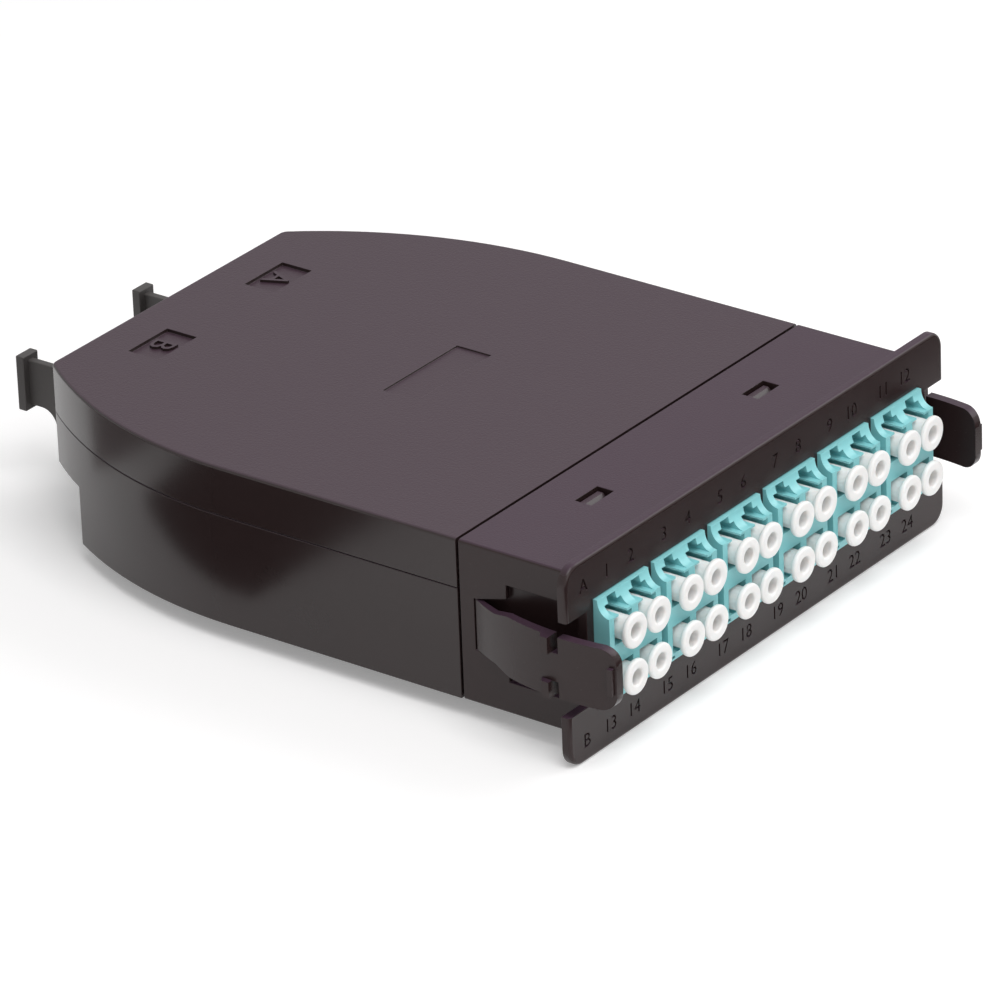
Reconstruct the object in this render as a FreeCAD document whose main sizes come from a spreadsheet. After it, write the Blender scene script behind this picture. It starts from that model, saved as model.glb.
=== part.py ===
"""Fibre cassette: two MPO inputs at the back, 24 LC ports at the front.

Frame, in millimetres: the origin is the centre of the faceplate's back face, where the
cassette seats on its panel. +X runs to port 12's end, +Y runs back into the rack and +Z is up.
"""
import FreeCAD, Part
import math
import os
import re
import Sketcher

# Driving dimensions: (alias, value, what it is)
DIMENSIONS = [
    ("plate_wide", 102.0, "faceplate, ear to ear"),
    ("plate_tall", 34.0, "faceplate height"),
    ("plate_thick", 1.6, "faceplate thickness"),
    ("plate_corner", 3.2, "radius of the faceplate's corners"),
    ("plate_round", 0.6, "rounding of its front edges"),
    ("notch_tall", 16.0, "gap in each ear that a lever passes through"),
    ("body_wide", 91.5, "frame and housing width"),
    ("body_tall", 27.5, "frame and housing height"),
    ("body_round", 0.5, "rounding of the long outer edges"),
    ("frame_deep", 22.45, "frame, plate back to seam"),
    ("seam_gap", 0.5, "shadow gap between frame and housing"),
    ("adapter_pitch", 14.9, "from one LC adapter to the next"),
    ("adapter_wide", 13.3, "LC quad adapter width"),
    ("adapter_tall", 19.8, "LC quad adapter height"),
    ("adapter_play", 0.15, "clearance round each adapter"),
    ("rib_thick", 1.2, "divider between adapters"),
    ("rib_setback", 1.0, "divider's edge behind the plate's front"),
    ("step_deep", 11.5, "depth of the tight opening, then the step"),
    ("rear_tall", 23.9, "frame's inside height behind the step"),
    ("window_wide", 5.9, "snap window width"),
    ("window_front", 12.15, "snap window's front edge"),
    ("window_long", 3.2, "snap window length"),
    ("side_sink", 1.0, "depth of the frame's side pockets"),
    ("side_tall", 16.6, "height of the side pocket"),
    ("side_long", 13.6, "length of the side pocket"),
    ("mouth_tall", 11.8, "lever slot height where it meets the pocket"),
    ("root_slot_tall", 8.8, "lever slot height at the lever's root"),
    ("root_play", 0.1, "clearance round the lever's root"),
    ("lever_root", 19.3, "lever hinge line behind the plate's back"),
    ("lever_tip", 9.7, "lever tip in front of the plate's back"),
    ("lever_tip_out", 49.6, "lever tip's outer face from the middle"),
    ("lever_bow", 40.8, "radius of the lever's outer face"),
    ("lever_bow_in", 45.6, "radius of the lever's inner face"),
    ("lever_thick", 1.55, "lever thickness at its tip"),
    ("root_thick", 0.9, "lever thickness at its hinge"),
    ("lever_tall", 10.4, "lever height"),
    ("root_tall", 8.6, "lever height at its root"),
    ("neck_end", 14.4, "where the lever starts to widen"),
    ("shoulder", 10.9, "where it is full height"),
    ("tip_round", 2.8, "radius of the lever tip's corners"),
    ("catch_lock", 1.7, "catch's locking face behind the plate"),
    ("catch_flat", 1.27, "flat top of the catch"),
    ("catch_ramp", 1.33, "ramp of the catch"),
    ("catch_out", 51.65, "catch top from the middle"),
    ("catch_deep", 1.95, "catch top down into the lever"),
    ("catch_inner", 2.4, "catch's inner end above the middle"),
    ("relief_long", 1.3, "slot in front of each catch"),
    ("grip_from_tip", 0.8, "grip rib's middle behind the tip"),
    ("grip_wide", 0.9, "grip rib width"),
    ("grip_tall", 4.5, "grip rib height"),
    ("grip_out", 50.5, "grip rib's top from the middle"),
    ("straight_end", 68.4, "where the housing's sides start to curve in"),
    ("side_radius", 78.0, "radius of the housing's curved sides"),
    ("hood_rear", 115.3, "housing's rear edge"),
    ("wall_rear", 106.1, "outer face of the rear wall below the hood"),
    ("hood_drop", 3.6, "hood's lower edge below the middle"),
    ("corner_round", 1.8, "radius of the housing's rear corners"),
    ("wall_thick", 2.0, "housing wall"),
    ("parting", 5.3, "parting line above the middle"),
    ("parting_gap", 0.15, "gap at the parting line"),
    ("lip_thick", 0.9, "lap lip on the base"),
    ("lip_tall", 1.0, "height of the lap lip"),
    ("lip_play", 0.1, "clearance round the lap lip"),
    ("stop_height", 9.2, "adapter stop lips from the middle"),
    ("stop_long", 1.5, "thickness of the adapter stop lips"),
    ("tongue_wide", 5.0, "snap tongue width"),
    ("tongue_thick", 1.4, "snap tongue thickness"),
    ("tongue_play", 0.2, "clearance outside the tongue"),
    ("tongue_back", 0.25, "tongue's tip behind the window's front edge"),
    ("hook_tall", 1.45, "hook above the tongue"),
    ("hook_long", 2.5, "hook length with its ramp"),
    ("hook_ramp", 1.5, "ramp of the hook"),
    ("label_wide", 10.0, "sunk letter fields at the rear, width"),
    ("label_long", 6.1, "sunk letter fields, length"),
    ("label_from_rear", 7.7, "sunk letter fields' rear edge from the housing's"),
    ("label_sink", 0.6, "depth of the letter fields"),
    ("panel_wide", 19.6, "shallow field in the middle, width"),
    ("panel_long", 6.8, "shallow field, length"),
    ("panel_front", 57.3, "shallow field's front edge"),
    ("panel_sink", 0.3, "depth of the shallow field"),
    ("boss_radius", 3.0, "cover boss"),
    ("boss_drop", 0.3, "boss top below the parting line"),
    ("boss_front_out", 39.0, "front bosses from the middle"),
    ("boss_front_back", 46.0, "front bosses behind the plate"),
    ("boss_rear_out", 31.0, "rear bosses from the middle"),
    ("boss_rear_back", 96.0, "rear bosses behind the plate"),
    ("pin_radius", 1.45, "cover pin"),
    ("pin_play", 0.05, "clearance round the cover pin"),
    ("pin_long", 6.0, "cover pin inside its boss"),
    ("pillar_radius", 2.5, "pillar above the cover pin"),
    ("deck_back", 2.2, "adapter's deck edge in front of the plate's back"),
    ("adapter_front", 4.7, "adapter's front face in front of the plate's back"),
    ("deck_half", 9.6, "top of the adapter's scooped edge from the middle"),
    ("cheek_half", 6.4, "bottom of the scooped edge from the middle"),
    ("scoop_radius", 3.3, "radius of the scooped edge"),
    ("duplex_pitch", 6.25, "LC duplex port pitch"),
    ("row_pitch", 7.88, "from the upper port row to the lower"),
    ("port_half", 2.4, "half the LC port's square"),
    ("key_wide", 4.4, "wide part of the latch slot"),
    ("key_wide_top", 7.25, "its top from the middle"),
    ("key_narrow", 2.6, "narrow part of the latch slot"),
    ("key_top", 9.0, "top of the latch slot from the middle"),
    ("web_thick", 2.4, "wall between front and rear ports"),
    ("lug_inner", 3.4, "adapter lug's near end from its middle"),
    ("lug_wide", 2.6, "adapter lug width"),
    ("lug_tall", 1.1, "adapter lug height"),
    ("lug_long", 1.4, "adapter lug length"),
    ("cap_radius", 2.9, "dust cap's head"),
    ("cap_head", 1.0, "thickness of the head"),
    ("cap_front", 6.94, "dust cap's face in front of the plate's back"),
    ("cap_stem", 2.2, "dust cap's stem radius"),
    ("cap_stem_long", 7.4, "length of the stem"),
    ("cap_bore", 1.15, "radius of the dust cap's hole"),
    ("cap_bore_long", 5.5, "depth of the dust cap's hole"),
    ("plug_half", 2.25, "half the LC plug's square"),
    ("plug_gap", 0.5, "plug's nose from the port's end wall"),
    ("plug_long", 18.3, "LC plug body length"),
    ("latch_wide", 2.2, "LC plug's latch width"),
    ("latch_top", 4.6, "latch top from the plug's middle"),
    ("latch_long", 9.0, "latch length"),
    ("boot_half", 1.7, "half the boot's square"),
    ("boot_long", 7.0, "boot length"),
    ("mpo_out", 15.1, "MPO inputs from the middle"),
    ("mpo_wide", 14.4, "MPO adapter width"),
    ("mpo_tall", 9.6, "MPO adapter height"),
    ("mpo_front", 97.0, "MPO adapter's inner end"),
    ("mpo_rear", 122.1, "MPO adapter's outer end"),
    ("mpo_wall", 1.0, "MPO adapter wall"),
    ("mpo_play", 0.2, "clearance round the MPO adapter in its wall"),
    ("mpo_key_wide", 5.0, "MPO keyway width"),
    ("mpo_key_sink", 0.5, "MPO keyway depth"),
    ("collar_over", 1.6, "MPO adapter's collar beyond its body"),
    ("collar_thick", 1.9, "collar thickness"),
    ("collar_play", 0.2, "collar from the wall and from its ribs"),
    ("keeper_thick", 1.4, "rib in front of the collar"),
    ("keeper_wide", 18.8, "width of that rib"),
    ("keeper_top", 4.0, "top of that rib above the middle"),
    ("mpo_plug_wide", 12.2, "MPO plug width"),
    ("mpo_plug_tall", 7.2, "MPO plug height"),
    ("mpo_plug_front", 86.0, "MPO plug's cable end"),
    ("mpo_plug_rear", 109.5, "MPO plug's ferrule end"),
    ("mpo_boot_wide", 8.0, "MPO boot width"),
    ("mpo_boot_tall", 4.6, "MPO boot height"),
    ("mpo_boot_long", 6.0, "MPO boot length"),
    ("cover_fit", 0.25, "MPO cap plug inside the adapter"),
    ("cover_plug_long", 6.0, "MPO cap plug length"),
    ("cover_lip_long", 1.2, "MPO cap's lip thickness"),
    ("cover_lip_inset", 0.2, "MPO cap's lip inside the adapter's outline"),
    ("tab_thick", 1.4, "MPO cap's web"),
    ("tab_half", 3.9, "half the web's height"),
    ("tab_flare", 129.4, "where the web starts to flare"),
    ("flare_radius", 2.4, "radius of the flare"),
    ("grip_front", 132.75, "MPO cap's grip, near face"),
    ("grip_rear", 134.4, "MPO cap's grip, far face"),
    ("grip_half", 4.85, "half the grip's height"),
    ("grip_across", 3.8, "grip's width"),
    ("grip_corner", 0.4, "rounding of the grip"),
    ("fan_front", 65.0, "fan-out block's front face"),
    ("fan_long", 8.0, "fan-out block length"),
    ("fan_wide", 12.6, "fan-out block width"),
    ("fan_tall", 9.6, "fan-out block height"),
    ("ribbon_wide", 3.1, "ribbon fibre width"),
    ("ribbon_thick", 0.6, "ribbon fibre thickness"),
    ("tail_radius", 0.45, "fibre tail"),
    ("tail_pitch", 1.0, "from one tail to the next at the block"),
    ("cradle_over", 1.4, "cradle wall beside the block"),
    ("cradle_tall", 2.6, "cradle wall's height beside the block"),
    ("cradle_inset", 1.5, "cradle's ends inside the block's"),
    ("fan_play", 0.1, "clearance round the block"),
]

SIDES = (("left", -1), ("right", 1))
INPUTS = (("a", 1), ("b", -1))
ADAPTERS = 6
COLUMNS = 12
TAIL_SIDES = 6
AXES = ("x", "y", "z")

document = FreeCAD.newDocument("FibreCassette")
sheet = document.addObject("Spreadsheet::Sheet", "Sizes")
for row, (alias, amount, meaning) in enumerate(DIMENSIONS, start=1):
    sheet.set(f"A{row}", alias)
    sheet.set(f"B{row}", str(amount))
    sheet.set(f"C{row}", meaning)
    sheet.setAlias(f"B{row}", alias)
document.recompute()

ALIAS_WORD = re.compile(r"\b(" + "|".join(alias for alias, _, _ in DIMENSIONS) + r")\b")
subparts = []


def formula(text):
    """Spreadsheet formula for an expression written with bare aliases."""
    return ALIAS_WORD.sub(r"Sizes.\1", str(text))


def amount_of(text):
    """Number that an expression stands for."""
    return float(sheet.evalExpression(formula(text)))


def bind(item, prop, text):
    """Tie one property to the sheet."""
    item.setExpression(prop, formula(text))


def new_body(node, place=("0", "0", "0")):
    """Sub-part as a PartDesign body, moved to its place."""
    body = document.addObject("PartDesign::Body", node)
    body.Label = node
    for axis, text in zip(AXES, place):
        bind(body, f"Placement.Base.{axis}", text)
    subparts.append(body)
    return body


def origin_part(body, role):
    """One of the body's own origin planes or axes."""
    return next(part for part in body.Origin.OriginFeatures if part.Role == role)


def block(body, name, x_span, y_span, z_span, cut=False):
    """Box from low to high along each axis, added to the body or cut out of it."""
    kind = "PartDesign::SubtractiveBox" if cut else "PartDesign::AdditiveBox"
    item = body.newObject(kind, name)
    for prop, axis, (low, high) in zip(("Length", "Width", "Height"), AXES, (x_span, y_span, z_span)):
        bind(item, prop, f"({high}) - ({low})")
        bind(item, f"Placement.Base.{axis}", low)
    return item


def both_ways(half):
    """Span that lies evenly about zero."""
    return f"-({half})", half


def post(body, name, centre, z_span, radius, cut=False):
    """Upright cylinder, added or cut out."""
    kind = "PartDesign::SubtractiveCylinder" if cut else "PartDesign::AdditiveCylinder"
    item = body.newObject(kind, name)
    low, high = z_span
    bind(item, "Radius", radius)
    bind(item, "Height", f"({high}) - ({low})")
    for axis, text in zip(AXES, (centre[0], centre[1], low)):
        bind(item, f"Placement.Base.{axis}", text)
    return item


def new_sketch(body, name, plane, offset):
    """Empty sketch on an origin plane, moved along the plane's normal."""
    sketch = body.newObject("Sketcher::SketchObject", name)
    sketch.AttachmentSupport = [(origin_part(body, plane), "")]
    sketch.MapMode = "FlatFace"
    bind(sketch, "AttachmentOffset.Base.z", offset)
    return sketch


def arc_between(start, end, radius, turn):
    """Short arc from start to end; turn is 1 to the left and -1 to the right."""
    chord = end - start
    rise = math.sqrt(radius ** 2 - (chord.Length / 2) ** 2)
    sideways = FreeCAD.Vector(-chord.y, chord.x, 0).normalize()
    centre = (start + end) * 0.5 + sideways * (rise * turn)
    first, last = (start, end) if turn > 0 else (end, start)
    angles = [math.atan2(point.y - centre.y, point.x - centre.x) for point in (first, last)]
    return Part.ArcOfCircle(Part.Circle(centre, FreeCAD.Vector(0, 0, 1), radius), *angles)


def pin_point(sketch, edge, end, place):
    """Hold one end or centre of an edge at its place in the sketch."""
    for kind, text in zip(("DistanceX", "DistanceY"), place):
        number = sketch.addConstraint(Sketcher.Constraint(kind, edge, end, amount_of(text)))
        bind(sketch, f"Constraints[{number}]", text)


def pin_radius(sketch, edge, text):
    """Hold an arc's or circle's radius."""
    number = sketch.addConstraint(Sketcher.Constraint("Radius", edge, amount_of(text)))
    bind(sketch, f"Constraints[{number}]", text)


def draw_loop(sketch, corners, arcs=None):
    """Closed outline through corners; arcs maps an edge's number to (radius, turn)."""
    arcs = arcs or {}
    points = [FreeCAD.Vector(amount_of(across), amount_of(along), 0) for across, along in corners]
    count = len(points)
    ends = []
    for number in range(count):
        start, end = points[number], points[(number + 1) % count]
        if number in arcs:
            radius, turn = arcs[number]
            edge = sketch.addGeometry(arc_between(start, end, amount_of(radius), turn))
            ends.append((edge, 1, 2) if turn > 0 else (edge, 2, 1))
        else:
            edge = sketch.addGeometry(Part.LineSegment(start, end))
            ends.append((edge, 1, 2))
    for number, (edge, first, last) in enumerate(ends):
        following, following_first, _ = ends[(number + 1) % count]
        sketch.addConstraint(Sketcher.Constraint("Coincident", edge, last, following, following_first))
        pin_point(sketch, edge, first, corners[number])
        if number in arcs:
            pin_radius(sketch, edge, arcs[number][0])


def pad(body, name, sketch, length, midplane=False, reverse=False):
    """Add the sketch's outline along its normal."""
    item = body.newObject("PartDesign::Pad", name)
    item.Profile = sketch
    item.Midplane = midplane
    item.Reversed = reverse
    bind(item, "Length", length)
    return item


def pocket(body, name, sketch, length, midplane=False, reverse=False):
    """Cut the sketch's outline against its normal, or along it if reversed."""
    item = body.newObject("PartDesign::Pocket", name)
    item.Profile = sketch
    item.Midplane = midplane
    item.Reversed = reverse
    bind(item, "Length", length)
    return item


def fillet(body, name, radius, picked):
    """Round the edges of the body's tip that picked accepts."""
    document.recompute()
    tip = body.Tip
    edges = [f"Edge{number}" for number, edge in enumerate(tip.Shape.Edges, start=1) if picked(edge)]
    item = body.newObject("PartDesign::Fillet", name)
    item.Base = (tip, edges)
    bind(item, "Radius", radius)
    return item


def runs_along(edge, axis):
    """True for a straight edge along one axis."""
    if edge.Curve.TypeId != "Part::GeomLine":
        return False
    return abs(getattr(edge.Curve.Direction, axis)) > 0.999


def lies_at(edge, axis, place):
    """True if the whole edge lies in the plane where that axis has this value."""
    box = edge.BoundBox
    low, high = (getattr(box, f"{axis.upper()}{end}") for end in ("Min", "Max"))
    return max(abs(low - place), abs(high - place)) < 0.01


# Values worked out from the driving dimensions
HALF_WIDE = "body_wide / 2"
HALF_TALL = "body_tall / 2"
HOUSING_FRONT = "frame_deep + seam_gap"
OPENING_HALF = f"({ADAPTERS - 1} * adapter_pitch + adapter_wide) / 2 + adapter_play"
SNAP_OUT = "1.5 * adapter_pitch"
ADAPTER_REAR = f"{HOUSING_FRONT} - adapter_play"
ADAPTER_MIDDLE = f"({ADAPTER_REAR} - adapter_front) / 2"
PORT_ROW = "row_pitch / 2"
FLOOR = f"wall_thick - {HALF_TALL}"
ROOF = f"{HALF_TALL} - wall_thick"
BASE_TOP = "parting - parting_gap / 2"
COVER_BOTTOM = "parting + parting_gap / 2"
BOSSES = [
    (f"{end}_{side}", f"{sign} * boss_{end}_out", f"boss_{end}_back")
    for end in ("front", "rear")
    for side, sign in SIDES
]


def front_frame():
    """Faceplate with four ears and the box behind it that holds the adapters."""
    body = new_body("front_frame")
    plate_half = both_ways("plate_wide / 2")
    block(body, "faceplate", plate_half, ("-plate_thick", "0"), both_ways("plate_tall / 2"))
    fillet(body, "faceplate_corners", "plate_corner", lambda edge: runs_along(edge, "y"))
    plate_front = -amount_of("plate_thick")
    fillet(body, "faceplate_edge", "plate_round", lambda edge: lies_at(edge, "y", plate_front))
    block(body, "sleeve", both_ways(HALF_WIDE), ("0", "frame_deep"), both_ways(HALF_TALL))
    side = amount_of(HALF_WIDE)
    fillet(body, "sleeve_edges", "body_round",
           lambda edge: runs_along(edge, "y") and abs(abs(edge.CenterOfMass.x) - side) < 0.01)
    opening = both_ways(OPENING_HALF)
    opening_tall = both_ways("adapter_tall / 2 + adapter_play")
    block(body, "opening", opening, ("-plate_thick", "step_deep"), opening_tall, cut=True)
    block(body, "rear_opening", opening, ("step_deep", "frame_deep"), both_ways("rear_tall / 2"), cut=True)
    rib_left = f"-{ADAPTERS - 2} / 2 * adapter_pitch"
    rib = block(body, "divider", (f"{rib_left} - rib_thick / 2", f"{rib_left} + rib_thick / 2"),
                ("rib_setback - plate_thick", "step_deep"), opening_tall)
    ribs = body.newObject("PartDesign::LinearPattern", "dividers")
    ribs.Originals = [rib]
    ribs.Direction = (origin_part(body, "X_Axis"), [""])
    ribs.Occurrences = ADAPTERS - 1
    bind(ribs, "Length", f"{ADAPTERS - 2} * adapter_pitch")
    body.Tip = ribs
    for name, sign in SIDES:
        front_frame_side(body, name, sign)
    return body


def front_frame_side(body, name, sign):
    """Snap window, ear notch and lever pocket at one end of the frame."""
    centre = f"{sign} * {SNAP_OUT}"
    block(body, f"window_{name}", (f"{centre} - window_wide / 2", f"{centre} + window_wide / 2"),
          ("window_front", "window_front + window_long"), both_ways(HALF_TALL), cut=True)
    ear = [f"{sign} * ({HALF_WIDE} + root_play)", f"{sign} * plate_wide / 2"]
    wall = [f"{sign} * ({HALF_WIDE} - side_sink)", f"{sign} * {HALF_WIDE}"]
    block(body, f"notch_{name}", ear[::sign], ("-plate_thick", "0"), both_ways("notch_tall / 2"), cut=True)
    block(body, f"pocket_{name}", wall[::sign], ("0", "side_long"), both_ways("side_tall / 2"), cut=True)
    slot = new_sketch(body, f"slot_outline_{name}", "YZ_Plane", f"{sign} * {HALF_WIDE}")
    slot_end = "lever_root + root_thick / 2 + root_play"
    draw_loop(slot, [("side_long", "-mouth_tall / 2"), ("lever_root", "-root_slot_tall / 2"),
                     (slot_end, "-root_slot_tall / 2"), (slot_end, "root_slot_tall / 2"),
                     ("lever_root", "root_slot_tall / 2"), ("side_long", "mouth_tall / 2")])
    pocket(body, f"slot_{name}", slot, "side_sink", reverse=sign < 0)


def release_lever(name, sign):
    """Bowed spring lever with two catches and a grip rib, on its hinge line at the root."""
    body = new_body(f"release_lever_{name}")
    root_out = HALF_WIDE
    root_in = f"{HALF_WIDE} - root_thick"
    tip_in = "lever_tip_out - lever_thick"
    plan = new_sketch(body, "plan", "XY_Plane", "0")
    draw_loop(plan, [(f"{sign} * lever_tip_out", "-lever_tip"), (f"{sign} * ({root_out})", "lever_root"),
                     (f"{sign} * ({root_in})", "lever_root"), (f"{sign} * ({tip_in})", "-lever_tip")],
              {0: ("lever_bow", sign), 1: ("root_thick / 2 + 0.0001", sign), 2: ("lever_bow_in", -sign)})
    pad(body, "blade", plan, "lever_tall", midplane=True)
    for edge_name, up in (("lower", -1), ("upper", 1)):
        waist = new_sketch(body, f"waist_outline_{edge_name}", "YZ_Plane", "0")
        past_root = "lever_root + root_thick"
        draw_loop(waist, [("shoulder", f"{up} * lever_tall / 2"), ("neck_end", f"{up} * root_tall / 2"),
                          (past_root, f"{up} * root_tall / 2"), (past_root, f"{up} * lever_tall / 2")])
        pocket(body, f"waist_{edge_name}", waist, "plate_wide + lever_thick", midplane=True)
    tip = -amount_of("lever_tip")
    fillet(body, "tip_corners", "tip_round", lambda edge: runs_along(edge, "x") and lies_at(edge, "y", tip))
    for edge_name, up in (("lower", -1), ("upper", 1)):
        ends = [f"{up} * catch_inner", f"{up} * lever_tall / 2"][::up]
        ramp_end = "catch_lock + catch_flat + catch_ramp"
        catch_in = f"{sign} * (catch_out - catch_deep)"
        catch = new_sketch(body, f"catch_outline_{edge_name}", "XY_Plane", ends[0])
        draw_loop(catch, [(catch_in, "catch_lock"), (f"{sign} * catch_out", "catch_lock"),
                          (f"{sign} * catch_out", "catch_lock + catch_flat"), (catch_in, ramp_end)])
        pad(body, f"catch_{edge_name}", catch, f"({ends[1]}) - ({ends[0]})")
        across = [f"{sign} * {HALF_WIDE}", f"{sign} * catch_out"][::sign]
        block(body, f"relief_{edge_name}", across, ("catch_lock - relief_long", "catch_lock"), ends, cut=True)
    grip = [f"{sign} * (lever_tip_out - lever_thick / 2)", f"{sign} * grip_out"][::sign]
    grip_middle = "grip_from_tip - lever_tip"
    block(body, "grip", grip, (f"{grip_middle} - grip_wide / 2", f"{grip_middle} + grip_wide / 2"),
          both_ways("grip_tall / 2"))
    return body


def curve_half(inset, back):
    """Half width of the housing's curved part, moved inward by inset, at one distance back."""
    return f"{HALF_WIDE} - side_radius + sqrt((side_radius - ({inset}))^2 - (({back}) - straight_end)^2)"


def housing_loop(sketch, inset, front, rear):
    """Plan of the housing, moved inward by inset, between a front and a rear line."""
    half = f"{HALF_WIDE} - ({inset})"
    radius = f"side_radius - ({inset})"
    rear_half = curve_half(inset, rear)
    draw_loop(sketch, [(f"-({half})", front), (half, front), (half, "straight_end"), (rear_half, rear),
                       (f"-({rear_half})", rear), (f"-({half})", "straight_end")],
              {2: (radius, 1), 4: (radius, 1)})


def hood_space(body, low, high):
    """Hollow of the hood, behind the rear wall, open below."""
    rear = "hood_rear - wall_thick"
    front_half = curve_half("wall_thick", "wall_rear")
    rear_half = curve_half("wall_thick", rear)
    plan = new_sketch(body, "hood_space_plan", "XY_Plane", low)
    draw_loop(plan, [(f"-({front_half})", "wall_rear"), (front_half, "wall_rear"), (rear_half, rear),
                     (f"-({rear_half})", rear)],
              {1: ("side_radius - wall_thick", 1), 3: ("side_radius - wall_thick", 1)})
    pocket(body, "hood_space", plan, f"({high}) - ({low})", reverse=True)


def housing_blank(body, low, high):
    """Solid slice of the housing with its rear corners rounded."""
    plan = new_sketch(body, "plan", "XY_Plane", low)
    housing_loop(plan, "0", HOUSING_FRONT, "hood_rear")
    pad(body, "blank", plan, f"({high}) - ({low})")
    rear = amount_of("hood_rear")
    fillet(body, "rear_corners", "corner_round", lambda edge: runs_along(edge, "z") and lies_at(edge, "y", rear))


def hollow(body, name, low, high, inset, front, rear):
    """Hollow with the housing's own plan, from low to high."""
    plan = new_sketch(body, f"{name}_plan", "XY_Plane", low)
    housing_loop(plan, inset, front, rear)
    pocket(body, name, plan, f"({high}) - ({low})", reverse=True)


def snap_tongue(body, name, sign, up):
    """Tongue that reaches into the frame and hooks into its window."""
    inner = f"{up} * (rear_tall / 2 - tongue_play - tongue_thick)"
    outer = f"{up} * (rear_tall / 2 - tongue_play)"
    top = f"{up} * (rear_tall / 2 - tongue_play + hook_tall)"
    tip = "window_front + tongue_back"
    side = new_sketch(body, f"tongue_outline_{name}", "YZ_Plane", f"{sign} * {SNAP_OUT}")
    draw_loop(side, [(tip, inner), (f"{HOUSING_FRONT} + stop_long", inner), (f"{HOUSING_FRONT} + stop_long", outer),
                     (f"{tip} + hook_long", outer), (f"{tip} + hook_long", top), (f"{tip} + hook_ramp", top),
                     (tip, outer)])
    pad(body, f"tongue_{name}", side, "tongue_wide", midplane=True)


def base_tray():
    """Lower half of the housing: floor, walls, hood skirt, bosses and seats for the parts inside."""
    body = new_body("base_tray")
    housing_blank(body, f"-{HALF_TALL}", BASE_TOP)
    lip = new_sketch(body, "lip_plan", "XY_Plane", "parting - lip_tall")
    lip_inset = "wall_thick - lip_thick"
    housing_loop(lip, lip_inset, HOUSING_FRONT, f"wall_rear - ({lip_inset})")
    pad(body, "lip", lip, "2 * lip_tall")
    block(body, "ledge", both_ways("plate_wide / 2"), ("wall_rear", "hood_rear"),
          (f"-{HALF_TALL}", "-hood_drop"), cut=True)
    hollow(body, "tray_space", FLOOR, "parting + lip_tall", "wall_thick", f"{HOUSING_FRONT} - wall_thick",
           "wall_rear - wall_thick")
    hood_space(body, "-hood_drop", "parting")
    block(body, "hood_web", both_ways("wall_thick / 2"), ("wall_rear", "hood_rear"), ("-hood_drop", BASE_TOP))
    block(body, "adapter_stop", both_ways(f"{HALF_WIDE} - wall_thick"),
          (HOUSING_FRONT, f"{HOUSING_FRONT} + stop_long"), (FLOOR, "-stop_height"))
    for name, sign in SIDES:
        snap_tongue(body, name, sign, -1)
    boss_top = "parting - boss_drop"
    for name, across, back in BOSSES:
        post(body, f"boss_{name}", (across, back), (FLOOR, boss_top), "boss_radius")
        post(body, f"boss_hole_{name}", (across, back), (f"{boss_top} - pin_long - boss_drop", boss_top),
             "pin_radius + pin_play", cut=True)
    for name, sign in INPUTS:
        base_input(body, name, f"{sign} * mpo_out")
    return body


def base_input(body, name, middle):
    """Ways through the rear wall and hood for one MPO adapter, its keeper rib and the block's cradle."""
    way = (f"{middle} - mpo_wide / 2 - mpo_play", f"{middle} + mpo_wide / 2 + mpo_play")
    way_bottom = "-mpo_tall / 2 - mpo_play"
    keeper_rear = "wall_rear - wall_thick - collar_thick - 2 * collar_play"
    keeper = (f"{middle} - keeper_wide / 2", f"{middle} + keeper_wide / 2")
    block(body, f"keeper_{name}", keeper, (f"{keeper_rear} - keeper_thick", keeper_rear), (FLOOR, "keeper_top"))
    block(body, f"way_{name}", way, (f"{keeper_rear} - keeper_thick", "hood_rear"),
          (way_bottom, "parting + lip_tall"), cut=True)
    cradle_half = "fan_wide / 2 + fan_play + cradle_over"
    cradle_span = ("fan_front + cradle_inset", "fan_front + fan_long - cradle_inset")
    block(body, f"cradle_{name}", (f"{middle} - ({cradle_half})", f"{middle} + ({cradle_half})"),
          cradle_span, (FLOOR, "cradle_tall - fan_tall / 2"))
    block(body, f"cradle_space_{name}", (f"{middle} - fan_wide / 2 - fan_play", f"{middle} + fan_wide / 2 + fan_play"),
          cradle_span, ("-fan_tall / 2", "cradle_tall - fan_tall / 2"), cut=True)


def top_cover():
    """Upper half of the housing, with the two letter fields and pins that go into the base."""
    body = new_body("top_cover")
    housing_blank(body, COVER_BOTTOM, HALF_TALL)
    top = amount_of(HALF_TALL)
    front = amount_of(HOUSING_FRONT)
    fillet(body, "top_edge", "body_round",
           lambda edge: lies_at(edge, "z", top) and not lies_at(edge, "y", front))
    hollow(body, "cover_space", COVER_BOTTOM, ROOF, "wall_thick", f"{HOUSING_FRONT} - wall_thick",
           "wall_rear - wall_thick")
    hood_space(body, COVER_BOTTOM, ROOF)
    rebate_inset = "wall_thick - lip_thick - lip_play"
    hollow(body, "rebate", COVER_BOTTOM, "parting + lip_tall + lip_play", rebate_inset,
           f"{HOUSING_FRONT} - wall_thick", f"wall_rear - ({rebate_inset})")
    label_rear = "hood_rear - label_from_rear"
    for name, sign in INPUTS:
        middle = f"{sign} * mpo_out"
        block(body, f"label_{name}", (f"{middle} - label_wide / 2", f"{middle} + label_wide / 2"),
              (f"{label_rear} - label_long", label_rear), (f"{HALF_TALL} - label_sink", HALF_TALL), cut=True)
    block(body, "panel", both_ways("panel_wide / 2"), ("panel_front", "panel_front + panel_long"),
          (f"{HALF_TALL} - panel_sink", HALF_TALL), cut=True)
    block(body, "adapter_stop", both_ways(f"{HALF_WIDE} - wall_thick"),
          (HOUSING_FRONT, f"{HOUSING_FRONT} + stop_long"), ("stop_height", ROOF))
    for name, sign in SIDES:
        snap_tongue(body, name, sign, 1)
    for name, across, back in BOSSES:
        post(body, f"pillar_{name}", (across, back), ("parting", ROOF), "pillar_radius")
        post(body, f"pin_{name}", (across, back), ("parting - boss_drop - pin_long", "parting"), "pin_radius")
    return body


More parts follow.
